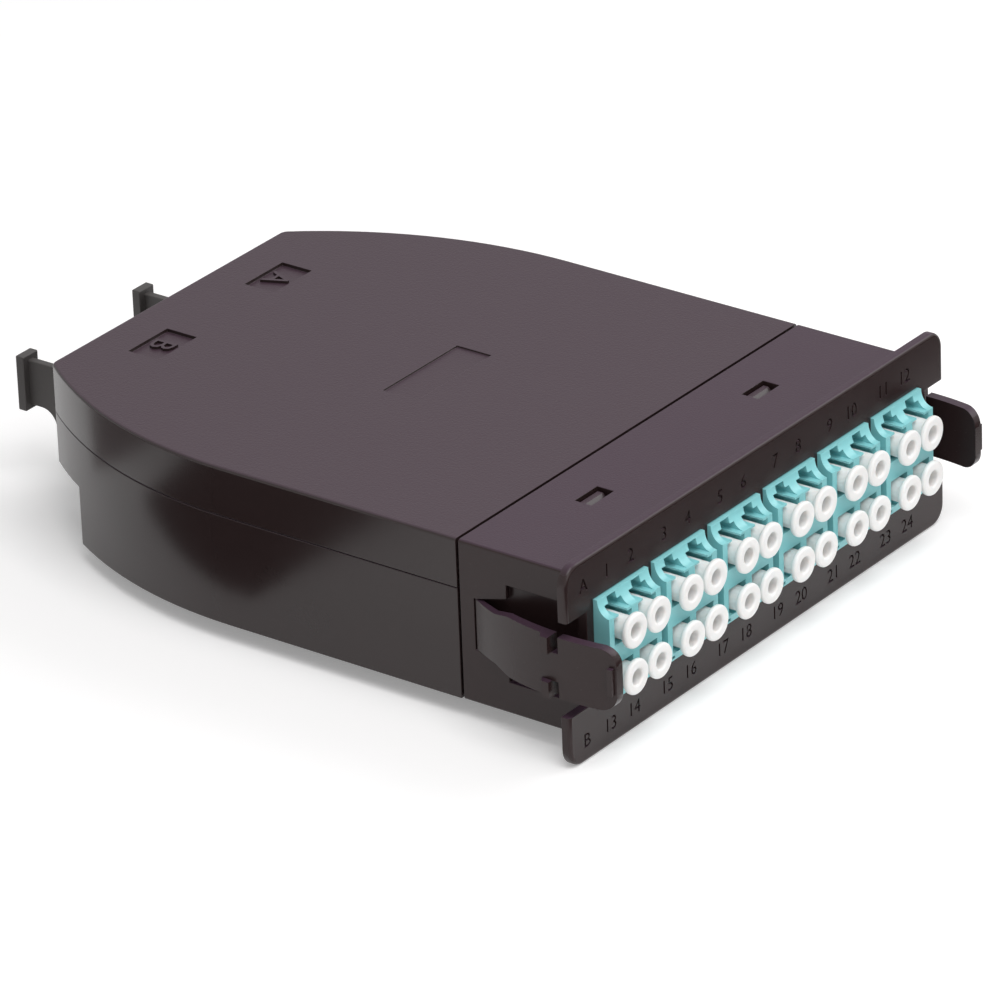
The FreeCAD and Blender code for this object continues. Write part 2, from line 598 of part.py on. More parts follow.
def draw_ports(sketch, flip):
    """Four LC port outlines, each a square with a stepped latch slot; flip mirrors the sketch's own x."""
    for column in (-1, 1):
        centre = f"{flip * column} * duplex_pitch / 2"
        for up in (-1, 1):
            half_steps = [("port_half", f"{PORT_ROW} - port_half"), ("port_half", f"{PORT_ROW} + port_half"),
                          ("key_wide / 2", f"{PORT_ROW} + port_half"), ("key_wide / 2", "key_wide_top"),
                          ("key_narrow / 2", "key_wide_top"), ("key_narrow / 2", "key_top")]
            right = [(f"{centre} + {half}", f"{up} * ({height})") for half, height in half_steps]
            left = [(f"{centre} - {half}", f"{up} * ({height})") for half, height in reversed(half_steps)]
            draw_loop(sketch, right + left)


def lc_adapter(number):
    """LC quad adapter: two duplex rows of ports at the front and again at the rear."""
    middle = f"{number - (ADAPTERS + 1) / 2} * adapter_pitch"
    body = new_body(f"lc_adapter_{number}", (middle, "0", "0"))
    side = new_sketch(body, "side", "YZ_Plane", "0")
    draw_loop(side, [(ADAPTER_REAR, "-adapter_tall / 2"), (ADAPTER_REAR, "adapter_tall / 2"),
                     ("-deck_back", "adapter_tall / 2"), ("-deck_back", "deck_half"),
                     ("-adapter_front", "cheek_half"), ("-adapter_front", "-cheek_half"),
                     ("-deck_back", "-deck_half"), ("-deck_back", "-adapter_tall / 2")],
              {3: ("scoop_radius", -1), 5: ("scoop_radius", -1)})
    pad(body, "shell", side, "adapter_wide", midplane=True)
    port_deep = f"({ADAPTER_REAR} + adapter_front - web_thick) / 2"
    front = new_sketch(body, "front_ports", "XZ_Plane", "adapter_front")
    draw_ports(front, 1)
    pocket(body, "front_port_space", front, port_deep)
    rear = new_sketch(body, "rear_ports", "XZ_Plane", f"-({ADAPTER_REAR})")
    draw_ports(rear, 1)
    pocket(body, "rear_port_space", rear, port_deep, reverse=True)
    for column in (-1, 1):
        for up in (-1, 1):
            across = [f"{column} * lug_inner", f"{column} * (lug_inner + lug_wide)"][::column]
            tall = [f"{up} * adapter_tall / 2", f"{up} * (adapter_tall / 2 + lug_tall)"][::up]
            block(body, f"lug_{column + 1}_{up + 1}", across,
                  ("step_deep + adapter_play", "step_deep + adapter_play + lug_long"), tall)
    return body


def dust_cap(number):
    """Round white cap in one LC port, turned about the port's own line."""
    column = (number - 1) % COLUMNS
    up = 1 if number <= COLUMNS else -1
    group, place = divmod(column, 2)
    across = f"{group - (ADAPTERS - 1) / 2} * adapter_pitch + {2 * place - 1} * duplex_pitch / 2"
    body = new_body(f"dust_cap_{number:02d}", (across, "-cap_front", f"{up} * {PORT_ROW}"))
    profile = new_sketch(body, "profile", "XY_Plane", "0")
    stem_end = "cap_head + cap_stem_long"
    draw_loop(profile, [("cap_bore", "0"), ("cap_radius", "0"), ("cap_radius", "cap_head"),
                        ("cap_stem", "cap_head"), ("cap_stem", stem_end), ("0", stem_end),
                        ("0", "cap_bore_long"), ("cap_bore", "cap_bore_long")])
    turned = body.newObject("PartDesign::Revolution", "turned")
    turned.Profile = profile
    turned.ReferenceAxis = (profile, ["V_Axis"])
    turned.Angle = 360
    return body


def port_places(number):
    """Centre of each of one adapter's four ports, as (across, up, row sign)."""
    middle = f"{number - (ADAPTERS + 1) / 2} * adapter_pitch"
    return [(f"{middle} + {column} * duplex_pitch / 2", f"{up} * {PORT_ROW}", up)
            for up in (1, -1) for column in (-1, 1)]


def primitive_block(name, x_span, y_span, z_span):
    """Loose box for a boolean."""
    item = document.addObject("Part::Box", name)
    for prop, axis, (low, high) in zip(("Length", "Width", "Height"), AXES, (x_span, y_span, z_span)):
        bind(item, prop, f"({high}) - ({low})")
        bind(item, f"Placement.Base.{axis}", low)
    return item


def joined(name, pieces):
    """Several overlapping pieces as one solid."""
    item = document.addObject("Part::MultiFuse", name)
    item.Shapes = pieces
    item.Refine = True
    return item


def group(node, pieces):
    """Sub-part made of several like solids that stay separate."""
    item = document.addObject("Part::Compound", node)
    item.Label = node
    item.Links = pieces
    subparts.append(item)
    return item


def lc_connectors(number):
    """The four LC plugs behind one adapter: body, latch and boot each."""
    plugs = []
    nose = f"{ADAPTER_MIDDLE} + web_thick / 2 + plug_gap"
    tail = f"{nose} + plug_long"
    for index, (across, height, up) in enumerate(port_places(number), start=1):
        prefix = f"plug_{number}_{index}"
        square = (f"{across} - plug_half", f"{across} + plug_half")
        body = primitive_block(f"{prefix}_body", square, (nose, tail),
                               (f"{height} - plug_half", f"{height} + plug_half"))
        latch_ends = [f"{height}", f"{height} + {up} * latch_top"][::up]
        latch = primitive_block(f"{prefix}_latch", (f"{across} - latch_wide / 2", f"{across} + latch_wide / 2"),
                                (f"{tail} - latch_long", tail), latch_ends)
        boot = primitive_block(f"{prefix}_boot", (f"{across} - boot_half", f"{across} + boot_half"),
                               (tail, f"{tail} + boot_long"), (f"{height} - boot_half", f"{height} + boot_half"))
        plugs.append(joined(prefix, [body, latch, boot]))
    return group(f"lc_connectors_{number}", plugs)


def mpo_adapter(name, sign):
    """MPO adapter: a flat sleeve with a keyway and the collar that holds it in the base."""
    body = new_body(f"mpo_adapter_{name}", (f"{sign} * mpo_out", "0", "0"))
    length = ("mpo_front", "mpo_rear")
    collar_rear = "wall_rear - wall_thick - collar_play"
    block(body, "sleeve", both_ways("mpo_wide / 2"), length, both_ways("mpo_tall / 2"))
    block(body, "collar", both_ways("mpo_wide / 2 + collar_over"), (f"{collar_rear} - collar_thick", collar_rear),
          both_ways("mpo_tall / 2 + collar_over / 2"))
    block(body, "bore", both_ways("mpo_wide / 2 - mpo_wall"), length, both_ways("mpo_tall / 2 - mpo_wall"), cut=True)
    block(body, "keyway", both_ways("mpo_key_wide / 2"), length,
          ("0", "mpo_tall / 2 - mpo_wall + mpo_key_sink"), cut=True)
    return body


def mpo_cap(name, sign):
    """Dust cap of one MPO input: a plug, a lip, an upright web and a grip."""
    body = new_body(f"mpo_cap_{name}", (f"{sign} * mpo_out", "0", "0"))
    inside = "mpo_wall + cover_fit"
    block(body, "plug", both_ways(f"mpo_wide / 2 - ({inside})"), ("mpo_rear - cover_plug_long", "mpo_rear"),
          both_ways(f"mpo_tall / 2 - ({inside})"))
    lip_rear = "mpo_rear + cover_lip_long"
    block(body, "lip", both_ways("mpo_wide / 2 - cover_lip_inset"), ("mpo_rear", lip_rear),
          both_ways("mpo_tall / 2 - cover_lip_inset"))
    web = new_sketch(body, "web_outline", "YZ_Plane", "0")
    flare_end = "tab_flare + flare_radius"
    flare_bottom = "-tab_half - (grip_half - tab_half)"
    draw_loop(web, [(lip_rear, "-tab_half"), ("tab_flare", "-tab_half"), (flare_end, flare_bottom),
                    ("grip_front", flare_bottom), ("grip_front", "tab_half"), (lip_rear, "tab_half")],
              {1: ("flare_radius + (grip_half - tab_half)", -1)})
    pad(body, "web", web, "tab_thick", midplane=True)
    block(body, "grip", both_ways("grip_across / 2"), ("grip_front", "grip_rear"), both_ways("grip_half"))
    grip_rear = amount_of("grip_rear")
    fillet(body, "grip_edges", "grip_corner", lambda edge: lies_at(edge, "y", grip_rear))
    return body


def mpo_connector(name, sign):
    """MPO plug inside the housing with its short boot."""
    middle = f"{sign} * mpo_out"
    plug = primitive_block(f"mpo_plug_{name}", (f"{middle} - mpo_plug_wide / 2", f"{middle} + mpo_plug_wide / 2"),
                           ("mpo_plug_front", "mpo_plug_rear"), both_ways("mpo_plug_tall / 2"))
    boot = primitive_block(f"mpo_boot_{name}", (f"{middle} - mpo_boot_wide / 2", f"{middle} + mpo_boot_wide / 2"),
                           ("mpo_plug_front - mpo_boot_long", "mpo_plug_front"), both_ways("mpo_boot_tall / 2"))
    item = joined(f"mpo_connector_{name}", [plug, boot])
    item.Label = f"mpo_connector_{name}"
    subparts.append(item)
    return item


def fibre_fanout(name, sign):
    """Ribbon, fan-out block and twelve tails of one input, which feed one row of plugs."""
    middle = f"{sign} * mpo_out"
    ribbon = primitive_block(f"ribbon_{name}", (f"{middle} - ribbon_wide / 2", f"{middle} + ribbon_wide / 2"),
                             ("fan_front + fan_long", "mpo_plug_front - mpo_boot_long"),
                             both_ways("ribbon_thick / 2"))
    block_piece = primitive_block(f"fan_block_{name}", (f"{middle} - fan_wide / 2", f"{middle} + fan_wide / 2"),
                                  ("fan_front", "fan_front + fan_long"), both_ways("fan_tall / 2"))
    pieces = [ribbon, block_piece]
    height = amount_of(PORT_ROW) * sign
    boot_end = amount_of(f"{ADAPTER_MIDDLE} + web_thick / 2 + plug_gap + plug_long + boot_long")
    for index in range(COLUMNS):
        group_number, place = divmod(index, 2)
        port = amount_of(f"{group_number - (ADAPTERS - 1) / 2} * adapter_pitch + {2 * place - 1} * duplex_pitch / 2")
        exit_x = amount_of(f"{middle} + {index - (COLUMNS - 1) / 2} * tail_pitch")
        start = FreeCAD.Vector(exit_x, amount_of("fan_front + tail_radius"), height)
        run = FreeCAD.Vector(port, boot_end, height) - start
        tail = document.addObject("Part::Prism", f"tail_{name}_{index + 1}")
        tail.Polygon = TAIL_SIDES
        bind(tail, "Circumradius", "tail_radius")
        tail.Height = run.Length
        tail.Placement = FreeCAD.Placement(start, FreeCAD.Rotation(FreeCAD.Vector(0, 0, 1), run))
        pieces.append(tail)
    item = joined(f"fibre_fanout_{name}", pieces)
    item.Label = f"fibre_fanout_{name}"
    subparts.append(item)
    return item


def build():
    """Make every sub-part."""
    front_frame()
    base_tray()
    top_cover()
    for name, sign in SIDES:
        release_lever(name, sign)
    for number in range(1, ADAPTERS + 1):
        lc_adapter(number)
        lc_connectors(number)
    for number in range(1, 2 * COLUMNS + 1):
        dust_cap(number)
    for name, sign in INPUTS:
        mpo_adapter(name, sign)
        mpo_cap(name, sign)
        mpo_connector(name, sign)
        fibre_fanout(name, sign)


def write_out():
    """Check every object, then write one STEP file for each sub-part."""
    document.recompute()
    for item in document.Objects:
        if "Invalid" in item.State or "Error" in item.State:
            raise RuntimeError(f"{item.Label} failed: {item.State}")
    for item in subparts:
        if item.Shape.isNull() or not item.Shape.isValid():
            raise RuntimeError(f"{item.Label} has no valid shape")
    os.makedirs("parts", exist_ok=True)
    for item in subparts:
        item.Shape.exportStep(f"parts/{item.Label}.step")
        box = item.Shape.BoundBox
        print(f"{item.Label}: {len(item.Shape.Solids)} solid(s), {item.Shape.Volume:.1f} mm3, "
              f"x {box.XMin:.2f}..{box.XMax:.2f}, y {box.YMin:.2f}..{box.YMax:.2f}, "
              f"z {box.ZMin:.2f}..{box.ZMax:.2f}")


build()
write_out()
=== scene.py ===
"""Looks of a fibre cassette with two MPO inputs at the back and 24 LC ports at the front.

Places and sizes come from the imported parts, or are named here in millimetres. The script
rounds the edges of the moulded parts, builds the adapters' fronts, sinks the port numbers into
the faceplate, turns the dust caps and gives each part the finish of its real plastic. Then it
sets up the studio and the camera. The studio and Blender's own lengths are in metres.
"""
import logging
import math
from dataclasses import dataclass
from enum import Enum
from functools import cache

import bmesh
import bpy
from mathutils import Matrix, Vector


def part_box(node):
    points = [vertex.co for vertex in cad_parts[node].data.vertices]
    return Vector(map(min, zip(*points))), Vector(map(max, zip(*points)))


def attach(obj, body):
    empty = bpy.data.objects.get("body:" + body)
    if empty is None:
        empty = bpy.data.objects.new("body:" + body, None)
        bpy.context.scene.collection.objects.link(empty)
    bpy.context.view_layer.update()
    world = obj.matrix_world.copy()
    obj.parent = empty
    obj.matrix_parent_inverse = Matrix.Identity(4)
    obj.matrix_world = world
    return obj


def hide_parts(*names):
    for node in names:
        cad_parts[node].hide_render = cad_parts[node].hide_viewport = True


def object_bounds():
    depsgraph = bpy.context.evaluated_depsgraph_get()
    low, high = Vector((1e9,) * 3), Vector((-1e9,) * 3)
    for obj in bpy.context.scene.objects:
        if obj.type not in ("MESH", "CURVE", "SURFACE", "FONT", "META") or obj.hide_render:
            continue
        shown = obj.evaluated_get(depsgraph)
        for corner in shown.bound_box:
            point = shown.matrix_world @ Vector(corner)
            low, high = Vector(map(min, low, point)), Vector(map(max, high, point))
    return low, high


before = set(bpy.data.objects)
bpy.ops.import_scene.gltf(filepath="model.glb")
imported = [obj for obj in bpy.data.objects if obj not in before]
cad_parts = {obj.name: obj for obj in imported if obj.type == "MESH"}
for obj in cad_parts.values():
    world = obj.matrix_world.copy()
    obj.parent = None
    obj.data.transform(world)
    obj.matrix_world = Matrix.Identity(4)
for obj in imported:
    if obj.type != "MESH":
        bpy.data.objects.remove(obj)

MM = 0.001
CAD_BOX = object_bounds()
SHARP = math.radians(32.0)
NEARLY_FLAT = math.radians(0.4)
ALONG_AXIS = 0.999
WELD_MM = 0.0005
SLIVER_MM = 0.001
PORTS = range(1, 25)
ADAPTERS = range(1, 7)

Feed = bpy.types.NodeSocket | float | tuple
Point = tuple[float, float]
Place = tuple[float, float, float]


def linear(code: str) -> tuple[float, float, float, float]:
    """Turns an sRGB hex colour into linear RGBA.

    Args:
        code: Colour such as "#6fc6cc".

    Returns:
        Red, green, blue and an alpha of 1.
    """
    shares = [int(code[i:i + 2], 16) / 255 for i in (1, 3, 5)]
    return (*(s / 12.92 if s <= 0.04045 else ((s + 0.055) / 1.055) ** 2.4 for s in shares), 1.0)


def per_metre(millimetres: float) -> float:
    """Pattern scale at which one grain is this many millimetres wide."""
    return 1.0 / (millimetres * MM)


def middle_x(node: str) -> float:
    """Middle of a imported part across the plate, in millimetres."""
    low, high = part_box(node)
    return (low.x + high.x) / 2 / MM


def quarter_turn(steps: int) -> list[float]:
    """Angles from 0 to 90 degrees in even steps."""
    return [math.pi / 2 * step / steps for step in range(steps + 1)]


def add_node(tree: bpy.types.NodeTree, kind: str, feeds: dict[str | int, Feed] | None = None,
             **settings: object) -> bpy.types.Node:
    """Adds one node with its settings and links.

    Args:
        tree: Node tree that gets the node.
        kind: Node type without its "ShaderNode" prefix.
        feeds: Input name or number, to a plain value or to the output that feeds it.
        **settings: Properties of the node.

    Returns:
        The new node.
    """
    node = tree.nodes.new(f"ShaderNode{kind}")
    for name, value in settings.items():
        setattr(node, name, value)
    for name, value in (feeds or {}).items():
        socket = node.inputs[name]
        if isinstance(value, bpy.types.NodeSocket):
            tree.links.new(value, socket)
        else:
            socket.default_value = value
    return node


def blank_material(name: str) -> bpy.types.Material:
    """Material with an empty node tree."""
    material = bpy.data.materials.new(name)
    material.use_nodes = True
    material.node_tree.nodes.clear()
    return material


def seen_share(tree: bpy.types.NodeTree) -> bpy.types.NodeSocket:
    """Tells apart what the eye sees, also in reflections, from what only lights other things.

    Args:
        tree: Node tree of a material or of the world.

    Returns:
        A socket with 1 for camera, glossy and transmission rays and 0 for the others.
    """
    path = add_node(tree, "LightPath").outputs
    seen = path["Is Camera Ray"]
    for other in ("Is Glossy Ray", "Is Transmission Ray"):
        seen = add_node(tree, "Math", {0: seen, 1: path[other]}, operation="MAXIMUM").outputs[0]
    return seen


class Skin(Enum):
    """How the tool's surface left a part, as the share of the grain that its sides carry."""

    SPARKED = 0.05
    SATIN = 1.0


@dataclass(frozen=True)
class MouldedPlastic:
    """Injection-moulded plastic: a cloudy tint, a fine grain and faint sink marks.

    A real tool's grain is about 0.1 mm wide, too fine to show, so it is drawn coarser. On a
    sparked part it starts where a face leans up by grain_from and is full at grain_full. The
    same share mixes a painted highlight, a lighter colour, into faces that look up.
    """

    name: str
    shade: str
    tint: str
    roughness: float
    skin: Skin
    grain_mm: float
    grain_bump: float
    ior: float = 1.53
    cloud_mm: float = 14.0
    grain_deep_mm: float = 0.12
    grain_from: float = 0.6
    grain_full: float = 0.95
    sink_mm: float = 22.0
    sink_deep_mm: float = 1.2
    sink_bump: float = 0.05
    waver: float = 0.03
    glow: float = 0.0
    glow_mm: Place = (0.8, 0.7, 0.65)
    side_roughness: float = 0.2
    # Painted highlight: a lighter colour mixed into faces that look up, for the overhead light they
    # mirror.
    painted_top_sheen: str = ""
    specular: float = 0.5

    def make(self) -> bpy.types.Material:
        """Builds the material.

        Returns:
            The finished material.
        """
        material = blank_material(self.name)
        tree = material.node_tree
        place = add_node(tree, "TexCoord").outputs["Object"]
        cloud = add_node(tree, "TexNoise", {"Vector": place, "Scale": per_metre(self.cloud_mm),
                                            "Detail": 3.0}).outputs["Fac"]
        grain = add_node(tree, "TexNoise", {"Vector": place, "Scale": per_metre(self.grain_mm),
                                            "Detail": 2.0, "Roughness": 0.6}).outputs["Fac"]
        sink = add_node(tree, "TexNoise", {"Vector": place, "Scale": per_metre(self.sink_mm),
                                           "Detail": 1.0}).outputs["Fac"]
        colour = add_node(tree, "Mix", {0: cloud, 6: linear(self.shade), 7: linear(self.tint)},
                          data_type="RGBA").outputs[2]
        top = self._top_share(tree)
        # Painted highlight: faces that look up are mixed toward a lighter purplish colour that
        # stands in for the overhead light they mirror.
        if self.painted_top_sheen:
            colour = add_node(tree, "Mix", {0: top, 6: colour, 7: linear(self.painted_top_sheen)},
                              data_type="RGBA").outputs[2]
        strength = add_node(tree, "Math", {0: top, 1: self.grain_bump},
                            operation="MULTIPLY").outputs[0]
        wavy = add_node(tree, "Bump", {"Strength": self.sink_bump, "Height": sink,
                                       "Distance": self.sink_deep_mm * MM}).outputs[0]
        fine = add_node(tree, "Bump", {"Strength": strength, "Height": grain, "Normal": wavy,
                                       "Distance": self.grain_deep_mm * MM}).outputs[0]
        feeds = {"Base Color": colour, "Roughness": self._roughness(tree, top, grain),
                 "Normal": fine, "IOR": self.ior, "Specular IOR Level": self.specular}
        if self.glow:
            feeds |= {"Subsurface Weight": self.glow, "Subsurface Scale": 1.0,
                      "Subsurface Radius": tuple(reach * MM for reach in self.glow_mm)}
        shader = add_node(tree, "BsdfPrincipled", feeds)
        add_node(tree, "OutputMaterial", {"Surface": shader.outputs[0]})
        return material

    def _top_share(self, tree: bpy.types.NodeTree) -> bpy.types.NodeSocket:
        """How much of the grain, and of the painted highlight colour, a face carries.

        Args:
            tree: Node tree of the material.

        Returns:
            A socket from the skin's share on the sides to 1 on top faces.
        """
        turned = add_node(tree, "NewGeometry").outputs["Normal"]
        height = add_node(tree, "SeparateXYZ", {0: turned}).outputs[2]
        return add_node(tree, "MapRange", {"Value": height, "From Min": self.grain_from,
                                           "From Max": self.grain_full,
                                           "To Min": self.skin.value}).outputs[0]

    def _roughness(self, tree: bpy.types.NodeTree, top: bpy.types.NodeSocket,
                   grain: bpy.types.NodeSocket) -> bpy.types.NodeSocket:
        """Roughness that follows the skin and wavers with the grain.

        Args:
            tree: Node tree of the material.
            top: Share of the grain that a face carries.
            grain: Fine noise.

        Returns:
            The socket that feeds the shader's roughness.
        """
        skin = add_node(tree, "MapRange", {"Value": top, "From Min": Skin.SPARKED.value,
                                           "To Min": self.side_roughness,
                                           "To Max": self.roughness}).outputs[0]
        waver = add_node(tree, "MapRange", {"Value": grain, "To Min": -self.waver,
                                            "To Max": self.waver}).outputs[0]
        return add_node(tree, "Math", {0: skin, 1: waver}, operation="ADD").outputs[0]


# Black ABS off a spark-eroded tool: a warm brown-black with a fine even grain on top, a painted
# purplish-grey highlight on faces that look up for the overhead light they mirror, and smoother
# sides that show soft reflections.
HOUSING_ABS = MouldedPlastic("abs_black_spark_eroded", "#261c1b", "#2c2120", roughness=0.46,
                             skin=Skin.SPARKED, grain_mm=0.34, grain_bump=0.5,
                             painted_top_sheen="#3b2934", specular=0.4)
# The same ABS on the frame, its levers and the rear adapters, with a closer grain and duller
# sides that mirror less. Its top faces carry a painted purplish highlight too.
FRAME_ABS = MouldedPlastic("abs_black_satin", "#291d1c", "#2f2322", roughness=0.44,
                           skin=Skin.SPARKED, grain_mm=0.3, grain_bump=0.4,
                           painted_top_sheen="#402e3b", side_roughness=0.26, specular=0.28)
# Aqua PBT of multimode LC adapters: opaque, clean and half gloss.
ADAPTER_PBT = MouldedPlastic("pbt_aqua_moulded", "#86cdd1", "#92d6da", roughness=0.33,
                             skin=Skin.SATIN, grain_mm=0.5, grain_bump=0.12, cloud_mm=5.0,
                             glow=0.06)
# Soft white polyethylene dust caps: milky, light bleeds through their thin walls.
CAP_POLYETHYLENE = MouldedPlastic("polyethylene_white_soft", "#efeeec", "#f6f5f4",
                                  roughness=0.42, skin=Skin.SATIN, grain_mm=0.5, grain_bump=0.1,
                                  cloud_mm=4.0, glow=0.35, ior=1.51)
# Grey-black soft PVC covers on the inputs: dull, with an uneven bloom.
COVER_PVC = MouldedPlastic("pvc_grey_soft", "#3b3837", "#464241", roughness=0.5,
                           skin=Skin.SATIN, grain_mm=0.45, grain_bump=0.25, cloud_mm=6.0)
# Beige PBT of the plugs inside, plain half gloss.
PLUG_PBT = MouldedPlastic("pbt_beige_moulded", "#cfc5ae", "#d8cfba", roughness=0.36,
                          skin=Skin.SATIN, grain_mm=0.5, grain_bump=0.1, cloud_mm=6.0)
# Aqua PVC jacket of the fibre tails, extruded, with a slight silk sheen.
JACKET_PVC = MouldedPlastic("pvc_aqua_jacket", "#58b4b6", "#66bfc0", roughness=0.4,
                            skin=Skin.SATIN, grain_mm=0.6, grain_bump=0.1, cloud_mm=9.0)


@dataclass(frozen=True)
class StudioPaper:
    """Seamless white paper: matt, white to the eye, and it keeps the object's shadow.

    Its fibres are about 0.02 mm wide, too fine to show, so they are drawn coarser.
    """

    name: str = "paper_seamless_white"
    shade: str = "#f4f3f3"
    fibre_mm: float = 1.5
    fibre_deep_mm: float = 0.1
    fibre_bump: float = 0.05
    lift: float = 0.25

    def make(self) -> bpy.types.Material:
        """Builds the floor's material.

        Returns:
            The finished material.
        """
        material = blank_material(self.name)
        tree = material.node_tree
        place = add_node(tree, "TexCoord").outputs["Object"]
        fibre = add_node(tree, "TexNoise", {"Vector": place,
                                            "Scale": per_metre(self.fibre_mm)}).outputs["Fac"]
        bump = add_node(tree, "Bump", {"Strength": self.fibre_bump, "Height": fibre,
                                       "Distance": self.fibre_deep_mm * MM}).outputs[0]
        paper = add_node(tree, "BsdfDiffuse", {"Color": linear(self.shade),
                                               "Normal": bump}).outputs[0]
        strength = add_node(tree, "Math", {0: seen_share(tree), 1: self.lift},
                            operation="MULTIPLY").outputs[0]
        glow = add_node(tree, "Emission", {"Strength": strength}).outputs[0]
        both = add_node(tree, "AddShader", {0: paper, 1: glow}).outputs[0]
        add_node(tree, "OutputMaterial", {"Surface": both})
        return material


@cache
def material_of(finish: MouldedPlastic) -> bpy.types.Material:
    """The finish as a material, made once."""
    return finish.make()


def dress(piece: bpy.types.Object, material: bpy.types.Material) -> None:
    """Gives a piece one material on all its faces."""
    piece.data.materials.clear()
    piece.data.materials.append(material)


def shade(mesh: bpy.types.Mesh) -> None:
    """Smooths curved faces and keeps real edges crisp."""
    mesh.shade_smooth()
    mesh.set_sharp_from_angle(angle=SHARP)


def new_piece(name: str, bm: bmesh.types.BMesh) -> bpy.types.Object:
    """Turns a bmesh into an object at the origin and frees the bmesh.

    Args:
        name: Name of the piece.
        bm: Finished shape, with its place in it.

    Returns:
        The new object.
    """
    mesh = bpy.data.meshes.new(name)
    bm.to_mesh(mesh)
    bm.free()
    shade(mesh)
    piece = bpy.data.objects.new(name, mesh)
    bpy.context.scene.collection.objects.link(piece)
    return piece


def finished_mesh(item: bpy.types.Object) -> bpy.types.Mesh:
    """An object's mesh with its modifiers applied."""
    bpy.context.view_layer.update()
    graph = bpy.context.evaluated_depsgraph_get()
    return bpy.data.meshes.new_from_object(item.evaluated_get(graph))


def join_flat(bm: bmesh.types.BMesh, within: float = NEARLY_FLAT) -> None:
    """Joins faces that lie in one plane."""
    bmesh.ops.dissolve_limit(bm, angle_limit=within, verts=bm.verts, edges=bm.edges)


def add_shape(whole: bmesh.types.BMesh, part: bmesh.types.BMesh) -> None:
    """Puts one shape beside another in the same bmesh.

    Args:
        whole: Shape that gets the part.
        part: Shape to add, which is used up.
    """
    mesh = bpy.data.meshes.new("part")
    part.to_mesh(mesh)
    part.free()
    whole.from_mesh(mesh)
    bpy.data.meshes.remove(mesh)


def merged(node: str) -> bmesh.types.BMesh:
    """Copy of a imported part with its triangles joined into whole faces.

    Args:
        node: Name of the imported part.

    Returns:
        The copy as a bmesh.
    """
    bm = bmesh.new()
    bm.from_mesh(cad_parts[node].data)
    bmesh.ops.remove_doubles(bm, verts=bm.verts, dist=WELD_MM * MM)
    join_flat(bm)
    return bm


def prism(bm: bmesh.types.BMesh, outline: list[Point], along: int, low: float, high: float) -> None:
    """Adds a straight bar with the given outline.

    Args:
        bm: Shape that gets the bar.
        outline: Corners in millimetres in the two other axes, in their order.
        along: Axis that the bar follows, 0 to 2.
        low: Where the bar starts, in millimetres.
        high: Where it ends.
    """
    corners = []
    for pair in outline:
        place = [value * MM for value in pair]
        place.insert(along, low * MM)
        corners.append(bm.verts.new(place))
    grown = bmesh.ops.extrude_face_region(bm, geom=[bm.faces.new(corners)])["geom"]
    moved = [item for item in grown if isinstance(item, bmesh.types.BMVert)]
    step = Vector([(high - low) * MM if axis == along else 0.0 for axis in range(3)])
    bmesh.ops.translate(bm, vec=step, verts=moved)
    bmesh.ops.recalc_face_normals(bm, faces=bm.faces)


def box_outline(left: float, right: float, bottom: float, top: float) -> list[Point]:
    """Corners of an upright rectangle."""
    return [(left, bottom), (right, bottom), (right, top), (left, top)]


class Joint(Enum):
    """How two shapes are combined."""

    CUT = "DIFFERENCE"
    FUSE = "UNION"


def combined(base: bmesh.types.BMesh, tool: bmesh.types.BMesh,
             joint: Joint) -> bmesh.types.BMesh:
    """Cuts one shape out of another, or fuses both.

    Args:
        base: Shape that is kept, which is used up.
        tool: Shape that is taken away or added, which is used up.
        joint: Whether it is taken away or added.

    Returns:
        The new shape.
    """
    piece, other = new_piece("base", base), new_piece("tool", tool)
    both = piece.modifiers.new("both", "BOOLEAN")
    both.operation = joint.value
    both.solver = "EXACT"
    both.object = other
    mesh = finished_mesh(piece)
    bm = bmesh.new()
    bm.from_mesh(mesh)
    bmesh.ops.dissolve_degenerate(bm, dist=SLIVER_MM * MM, edges=bm.edges)
    bmesh.ops.holes_fill(bm, edges=[edge for edge in bm.edges if edge.is_boundary], sides=0)
    for used in (other, piece):
        bpy.data.objects.remove(used)
    bpy.data.meshes.remove(mesh)
    return bm


def soften(bm: bmesh.types.BMesh, width_mm: float, segments: int) -> None:
    """Rounds every real edge a little, as a mould does.

    Args:
        bm: Shape to soften.
        width_mm: Size of the rounding.
        segments: Faces across it.
    """
    sharp = [edge for edge in bm.edges if edge.is_manifold and edge.calc_face_angle(0.0) > SHARP]
    bmesh.ops.bevel(bm, geom=sharp, offset=width_mm * MM, offset_type="OFFSET", affect="EDGES",
                    segments=segments, profile=0.5, material=-1, clamp_overlap=True)


def even_normals(piece: bpy.types.Object) -> None:
    """Keeps flat faces flat beside their rounded edges."""
    weighted = piece.modifiers.new("flat_faces", "WEIGHTED_NORMAL")
    weighted.keep_sharp = True


@dataclass
class MouldedPart:
    """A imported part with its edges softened.

    Sizes are in millimetres from the frame's origin, with Y from the plate to the rear. Faces
    square to one of flat_axes are shaded flat, and made ends the piece's name.
    """

    node: str
    body: str
    slot: str
    finish: MouldedPlastic
    edge_mm: float = 0.18
    segments: int = 2
    flat_axes: tuple[int, ...] = ()
    made: str = "moulded"

    def build(self) -> bpy.types.Object:
        """Makes the dressed shape and puts it in the part's place.

        Returns:
            The new piece.
        """
        piece = new_piece(f"{self.node}_{self.made}", self.shape())
        for face in piece.data.polygons:
            if any(abs(face.normal[axis]) > ALONG_AXIS for axis in self.flat_axes):
                face.use_smooth = False
        even_normals(piece)
        dress(piece, material_of(self.finish))
        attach(piece, self.body)
        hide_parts(self.node)
        return piece

    def shape(self) -> bmesh.types.BMesh:
        """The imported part's own shape with rounded edges."""
        bm = merged(self.node)
        soften(bm, self.edge_mm, self.segments)
        return bm


class Facing(Enum):
    """Which way lettering faces, as the turn that takes it there from lying on the floor."""

    FRONT = (math.pi / 2, "X")
    TOP_FROM_REAR = (math.pi, "Z")


